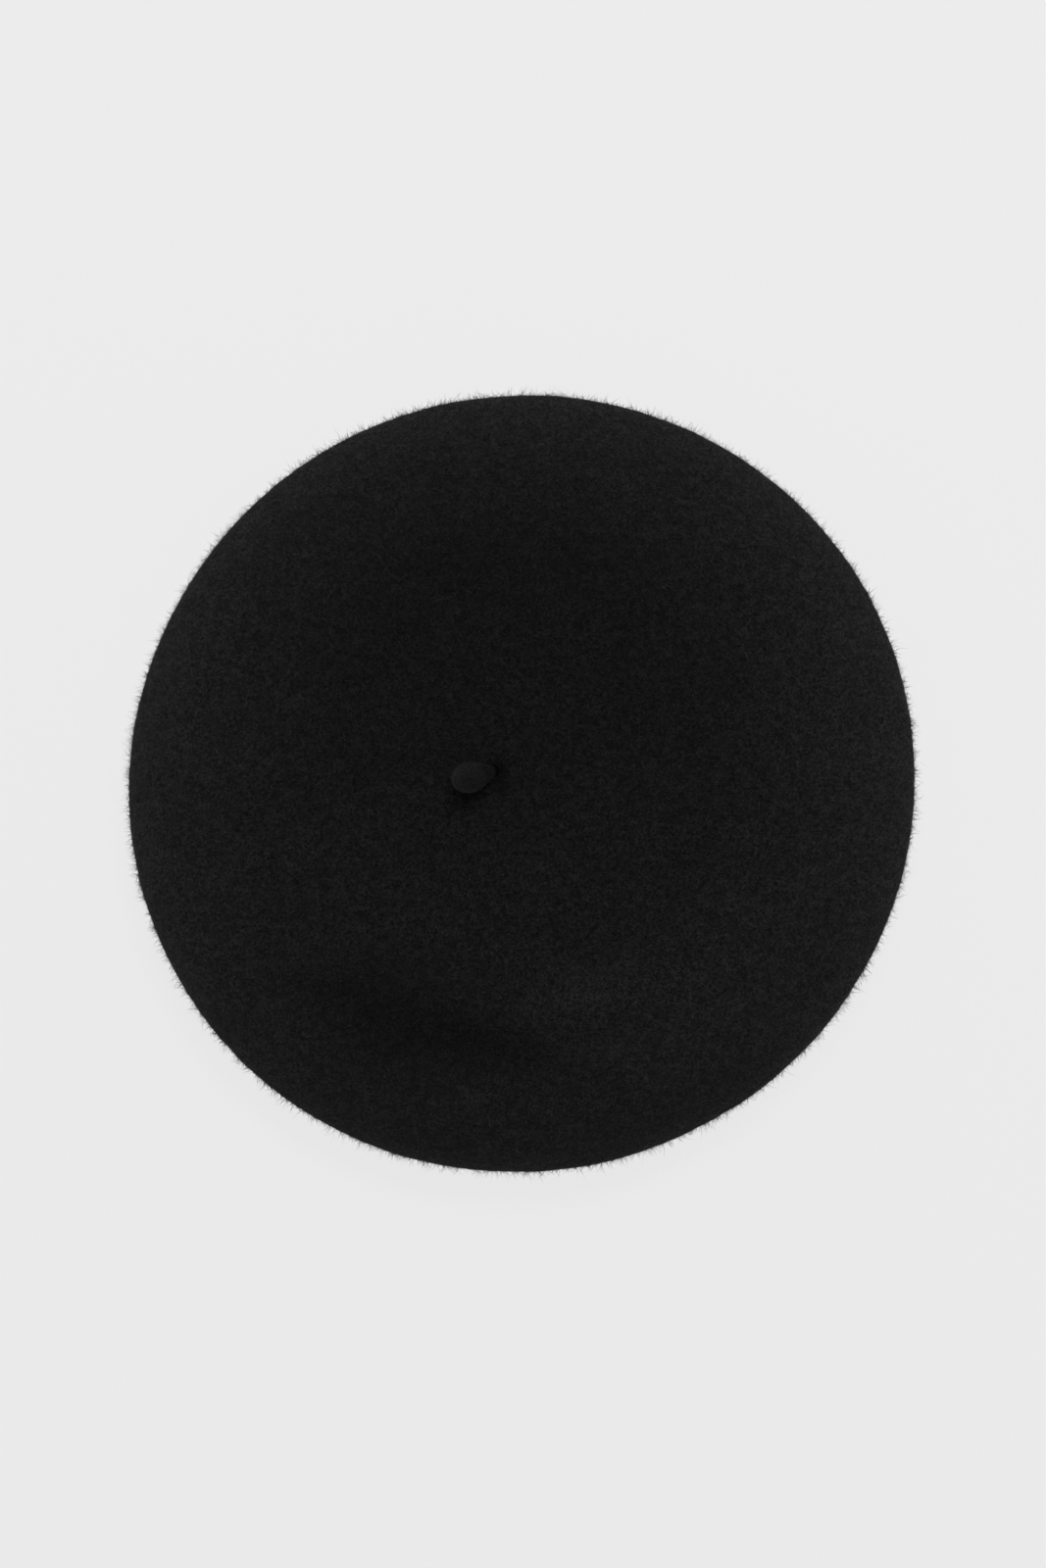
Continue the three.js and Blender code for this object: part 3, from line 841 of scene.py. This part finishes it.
def anchor_patch(material, ceiling):
    """A round of cloth with a pinked edge, under the felt at the stalk's root."""
    teeth, thickness = 28, 0.7 * MM
    angles = circle(teeth * 6)
    pinked = 8.6 * MM + 0.4 * MM * np.abs((angles * teeth / math.pi) % 2 - 1)
    across, through = strip_section(1, thickness, 12)
    rows = []
    for place, lift in zip(across, through):
        share = place / (1 - thickness) + 0.5
        radius = mix(1.5 * MM, pinked, share)
        x = STALK_PIVOT.x + radius * np.cos(angles)
        y = STALK_PIVOT.y + radius * np.sin(angles)
        rows.append(np.stack([x, y, np.full_like(x, ceiling - 0.25 * MM - thickness / 2 + lift)], axis=1))
    return skin("stalk_patch", rows, material, loop=True)


def anchor_thread(material, ceiling):
    """Crossed stitches over the patch, the knot that they end in, and the shank up to the stalk."""
    middle = np.array([STALK_PIVOT.x, STALK_PIVOT.y, ceiling - 1.15 * MM])
    paths = []
    for k in range(4):
        spoke = around(3.7 * MM, 0, math.pi * k / 4 + 0.2)
        paths.append(stitch(middle - spoke, middle + spoke, (0, 0, -(0.5 + 0.12 * k) * MM), 9))
    t = np.linspace(0, 1, 60)
    wound = 2 * math.pi * 3.5 * t
    swell = 1.25 * np.sin(math.pi * (0.15 + 0.7 * t))
    coil = np.stack([swell * np.cos(wound), swell * np.sin(wound), -0.55 - 0.55 * t], axis=1)
    paths.append(middle + coil * MM)
    for side in (-1, 1):
        turn = 2.6 * math.pi * t
        twist = np.stack([0.3 * side * np.cos(turn), 0.3 * side * np.sin(turn), 3.6 * t - 0.6], axis=1)
        paths.append(middle + twist * MM)
    return tubes("stalk_anchor_stitches", paths, 0.3 * MM, material)


# -------- the lining

def lining_hang(radius):
    """How far the loose lining hangs under the felt."""
    return LINING_SAG * (1 - smoothstep(radius, 32 * MM, LEVEL))


def gathers(radius, angles):
    """The soft pleats that run in from the seam, as a depth inwards."""
    wave = 34 * angles + 1.6 * np.sin(3 * angles + 1) + 0.9 * np.sin(7 * angles)
    pleat = (0.5 + 0.5 * np.sin(wave)) ** 1.5 * (0.7 + 0.3 * np.sin(5 * angles + 2))
    depth = 0.35 * smoothstep(radius, 62 * MM, 84 * MM) + 0.75 * smoothstep(radius, 92 * MM, 122 * MM)
    return pleat * depth * MM


def lining_row(radius, angles, depth):
    row = layer(radius, angles, depth)
    row[:, 2] -= lining_hang(radius) + gathers(radius, angles)
    return row


def lining_crown(material, columns=408):
    """The round piece of the lining, from the middle to the seam inside the fold."""
    angles = circle(columns)
    end = fall_radius(LINING_SEAM + LINING_EDGE)
    radii = [*np.linspace(INNERMOST, LEVEL, 36), *np.linspace(LEVEL, end, 40)[1:]]
    rows = [lining_row(radius, angles, FELT + GAP) for radius in radii]
    rows += [lining_row(radius, angles, FELT + GAP + SATIN) for radius in reversed(radii)]
    piece = skin("lining_top", rows, material)
    set_points(piece, oval(vertex_points(piece)))
    return piece


def lining_side(material, columns=408):
    """The ring of lining over the inside of the brim: from the opening, round the fold, up to the seam."""
    angles = circle(columns)
    inner_edge = 91 * MM  # radius of its edge at the opening
    over_tape, beside_tape = 4.2 * MM, FELT + GAP
    line = [(inner_edge, over_tape)]
    line += [(radius * MM, over_tape) for radius in (93, 96, 99)]
    line += [(101.5 * MM, 3.75 * MM)]
    line += [(radius * MM, beside_tape) for radius in (104, 110, 116, 122)]
    rows = []
    for lift in (0.0, SATIN):
        side = [level_row(radius, height + lift, angles) for radius, height in line]
        for turn in np.linspace(-math.pi / 2, 0, 16):
            side.append(fold_row(FOLD - beside_tape - lift, turn, angles))
        for turn in np.linspace(0, LINING_SEAM - LINING_EDGE, 6)[1:]:
            side.append(layer(fall_radius(turn), angles, beside_tape + lift))
        rows += side if lift == 0 else side[::-1]
    piece = skin("lining_brim", rows, material, loop=True)
    points = vertex_points(piece)
    radius, angle = polar(points)
    rise = gathers(radius, angle) * smoothstep(radius, 104 * MM, 118 * MM)
    toward_hollow = np.stack([-np.cos(angle), -np.sin(angle), np.ones_like(angle)], axis=1)
    up = np.array([0, 0, 1.0])
    way = mix(up, toward_hollow * 0.7, smoothstep(radius, FOLD_CENTRE, RIM - 6 * MM)[:, None])
    set_points(piece, oval(points + way * rise[:, None]))
    return piece


def lining_seam(material, count=230):
    """The row of stitches that joins the two pieces of lining."""
    depth = FELT + GAP + SATIN
    paths = []
    for k in range(count):
        start, end = 2 * math.pi * k / count, 2 * math.pi * (k + 0.72) / count
        ends = layer(fall_radius(LINING_SEAM), np.array([start, end]), depth)
        inward = -around(0.25 * MM, 0, start)
        paths.append(oval(stitch(ends[0], ends[1], inward)))
    return tubes("lining_seam_stitches", paths, 0.2 * MM, material)


def opening_tape(material, columns=360):
    """The cotton tape under the lining, round the opening."""
    angles = circle(columns)
    across, through = strip_section(5.8 * MM, 0.5 * MM, 10)
    ripple = 0.06 * MM * np.sin(40 * angles + np.sin(9 * angles))
    middle = 3.65 * MM  # height
    rows = []
    for place, lift in zip(across, through):
        row = level_row(TAPE_MIDDLE + place, middle + lift, angles)
        row[:, 2] += ripple
        rows.append(row)
    return skin("opening_tape", rows, material, loop=True)


# -------- the sweatband

def curved_strip(name, material, radius, thickness, bearing, half_angle, low, high, stations, wave=0.0):
    """A strip that stands up and follows the head opening, with rounded edges. radius is its inside."""
    across, through = strip_section(high - low, thickness, 22)
    rows = []
    for angle in np.linspace(bearing - half_angle, bearing + half_angle, stations):
        ripple = wave * (math.sin(11 * angle) + 0.6 * math.sin(23 * angle + 1))
        upper = smoothstep(across, 0, (high - low) / 2)
        out = radius + thickness / 2 + through + ripple * upper
        height = (low + high) / 2 + across
        rows.append(np.stack([out * math.cos(angle), out * math.sin(angle), height], axis=1))
    return skin(name, rows, material)


def sweatband(material):
    """One strip of leather, turned into a ring with its ends butted at the back."""
    half = math.pi - BAND_END_GAP / 2 / BAND_INSIDE
    return curved_strip("sweatband_strip", material, BAND_INSIDE, LEATHER, BACK + math.pi, half,
                        BAND_LOW, BAND_TOP, 420, wave=-0.12 * MM)


def sweatband_seam(material, count=168):
    """Overcast stitches from the leather's lower edge to the edge of the felt."""
    paths = []
    for k in range(count):
        angle, step = 2 * math.pi * k / count, 2 * math.pi / count
        start = around(BAND_OUTSIDE - 0.7 * MM, 1.2 * MM, angle)
        end = around(OPENING + 0.9 * MM, 0.75 * MM, angle + 0.45 * step)
        paths.append(stitch(start, end, (0, 0, -0.3 * MM)))
        back = around(BAND_OUTSIDE - 0.7 * MM, 1.9 * MM, angle + step)
        paths.append(stitch(end + np.array([0, 0, 1.1 * MM]), back, (0, 0, 0.2 * MM)))
    return tubes("sweatband_seam_stitches", paths, THREAD, material)


def band_join(material, waves=6):
    """The zigzag across the butted ends of the band."""
    low, high = BAND_LOW + 3 * MM, BAND_TOP - 3 * MM
    corners = []
    for k in range(2 * waves + 1):
        x = 2.2 * MM * (-1) ** k
        inside = math.sqrt(BAND_INSIDE ** 2 - x ** 2) - 0.18 * MM
        corners.append(np.array([x, -inside, mix(low, high, k / (2 * waves))]))
    paths = [stitch(start, end, (0, 0.2 * MM, 0)) for start, end in zip(corners, corners[1:])]
    return tubes("sweatband_join_stitches", paths, THREAD, material)


def join_tab(material):
    """The leather tab behind the butted ends, outside the band."""
    radius = BAND_OUTSIDE + GAP
    return curved_strip("sweatband_tab", material, radius, 1.0 * MM, BACK, 11 * MM / radius,
                        5.2 * MM, 24 * MM, 40)


# -------- the labels

def under_lining(x, y, drop):
    """The height of a point that lies drop under the lining, near its middle."""
    radius = np.hypot(x, y)
    return CROWN - FELT - GAP - SATIN + relief(x, y) - lining_hang(radius) - drop


def maker_label(material):
    """A blank woven label with rounded corners, sewn flat under the middle of the lining."""
    width, depth, thickness, corner = 50 * MM, 28 * MM, 0.4 * MM, 2 * MM
    rows = []
    for x in np.linspace(-width / 2, width / 2, 60):
        into = max(0.0, abs(x) - (width / 2 - corner)) / corner
        span = depth - 2 * corner * (1 - math.sqrt(max(0.0, 1 - into ** 2)))
        across, through = strip_section(span, thickness, 30)
        edge = np.minimum(width / 2 - abs(x), span / 2 - np.abs(across))
        curl = 0.3 * MM * (1 - smoothstep(edge, 0, 2.5 * MM))
        across_x = np.full_like(across, x)
        height = under_lining(across_x, across, 0.1 * MM + thickness / 2) - curl + through
        rows.append(np.stack([across_x, across, height], axis=1))
    piece = skin("blank_label", rows, material)
    return piece


def maker_label_stitches(material):
    paths = []
    x_side, y_side, pitch = 23.5 * MM, 12.5 * MM, 2.6 * MM
    corners = np.array([(-x_side, -y_side), (x_side, -y_side), (x_side, y_side), (-x_side, y_side)])
    for start, end in zip(corners, np.roll(corners, -1, axis=0)):
        count = round(np.linalg.norm(end - start) / pitch)
        for n in range(count):
            ends = []
            for share in (n / count, (n + 0.7) / count):
                x, y = mix(start, end, share)
                ends.append(np.array([x, y, under_lining(np.array([x]), np.array([y]), 0.72 * MM)[0]]))
            paths.append(stitch(ends[0], ends[1], (0, 0, -0.12 * MM)))
    return tubes("blank_label_stitches", paths, LABEL_THREAD, material)


def size_label(material):
    """A blank tab on the inside of the sweatband."""
    width = 16 * MM
    radius = BAND_INSIDE - 2 * GAP - 0.5 * MM
    low, high = (corner.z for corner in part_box("size_label"))
    piece = curved_strip("size_tab", material, radius, 0.4 * MM, SIZE_LABEL_BEARING, width / 2 / radius,
                         low, high, 40)
    return piece


def care_frame():
    """The middle of the care label's top edge, and the directions along that edge and inwards."""
    top = np.array(LABEL_HINGE)
    inward = -around(1, 0, CARE_LABEL_BEARING)
    return top, np.cross([0, 0, 1.0], inward), inward


def care_label(material):
    """A blank satin tag that hangs from its top edge and curls a little at its free end."""
    top, beside, inward = care_frame()
    width, height, thickness = 13.6 * MM, 18.8 * MM, 0.3 * MM
    across, through = strip_section(width, thickness, 18)
    rows = []
    for t in np.linspace(0.005, 1, 40):
        curl = (0.9 * t ** 3 + 0.25 * np.cos(across / width * math.pi) * t) * MM
        row = top + np.outer(across, beside) + np.outer(through + curl, inward)
        rows.append(row - np.array([0, 0, t * height]))
    piece = skin("care_tag", rows, material)
    return piece


def care_label_stitches(material, count=5):
    top, beside, inward = care_frame()
    middle = top + inward * 0.15 * MM + np.array([0, 0, 0.5 * MM])
    half_row = 6 * MM
    paths = []
    for k in range(count):
        start, end = (mix(-half_row, half_row, (k + share) / count) for share in (0.1, 0.8))
        paths.append(stitch(middle + beside * start, middle + beside * end, inward * 0.12 * MM))
    return tubes("care_tag_stitches", paths, LABEL_THREAD, material)


# -------- putting it together

def attach(piece, body, packed=None):
    """Lets a piece ride on a body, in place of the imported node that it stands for."""
    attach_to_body(piece, body)
    if packed:
        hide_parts(packed)


def felt_pieces():
    felt, fibre = felt_material("wool_felt", 0.045, 1.0, 1.0), fibre_material()
    body = felt_body(felt)
    attach(body, "beret", "felt_body")
    rng = np.random.default_rng(11)
    tuft = new_material("wool_tuft", (0.030, 0.030, 0.031), 0.8, specular_ior_level=0.2)
    lengths = np.minimum(rng.gamma(2.2, 0.85, 12000), 3.6) * MM
    naps = [rim_nap("rim_fibres", body, fibre, 0.070 * MM, lengths, 0.6, rng)]
    lengths = rng.uniform(0.4, 1.4, 3000) * MM
    naps.append(rim_nap("rim_tufts", body, tuft, 0.12 * MM, lengths, 0.35, rng))
    lengths = rng.uniform(0.9, 3.0, 900) * MM
    naps.append(rim_nap("rim_hairs", body, fibre, 0.11 * MM, lengths, 0.7, rng))
    naps.append(crown_nap(body, fibre))
    for nap in naps:
        attach(nap, "beret")
    stub = stalk(felt_material("firm_felt", 0.016, 1.5, 0.45))
    fuzz = stalk_nap(stub, fibre)
    for piece in (stub, fuzz):
        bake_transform(piece)
    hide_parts("stalk")


def inner_pieces():
    thread, satin, leather = thread_material(), satin_material(), leather_material()
    cotton = twill_material("cotton_twill", (0.012, 0.012, 0.012), (0.028, 0.028, 0.028), 900)
    label = label_material()
    above = layer(math.hypot(*STALK_PIVOT.xy), np.array([math.atan2(*STALK_PIVOT.yx)]), FELT)
    ceiling = float(above[0, 2])  # the underside of the felt at the stalk
    for piece, slot, packed in (
        (anchor_patch(cotton, ceiling), "cotton_tape", "stalk_anchor_patch"),
        (anchor_thread(thread, ceiling), "black_thread", "stalk_anchor_thread"),
        (lining_crown(satin), "black_satin", "lining_crown"),
        (lining_side(satin), "black_satin", "lining_side"),
        (lining_seam(thread), "black_thread", "lining_seam_thread"),
        (opening_tape(cotton), "cotton_tape", "stay_tape"),
        (sweatband(leather), "dark_leather", "sweatband"),
        (sweatband_seam(thread), "black_thread", "sweatband_seam_thread"),
        (join_tab(leather), "dark_leather", "sweatband_join_tab"),
        (band_join(thread), "black_thread", "sweatband_join_thread"),
        (maker_label(label), "label_satin", "maker_label"),
        (maker_label_stitches(thread), "black_thread", "maker_label_thread"),
        (size_label(label), "label_satin", "size_label"),
        (care_label(label), "label_satin", "care_label"),
        (care_label_stitches(thread), "black_thread", "care_label_thread"),
    ):
        attach(piece, "care_label" if packed == "care_label" else "beret", packed)


make_camera()
make_studio()
felt_pieces()
inner_pieces()
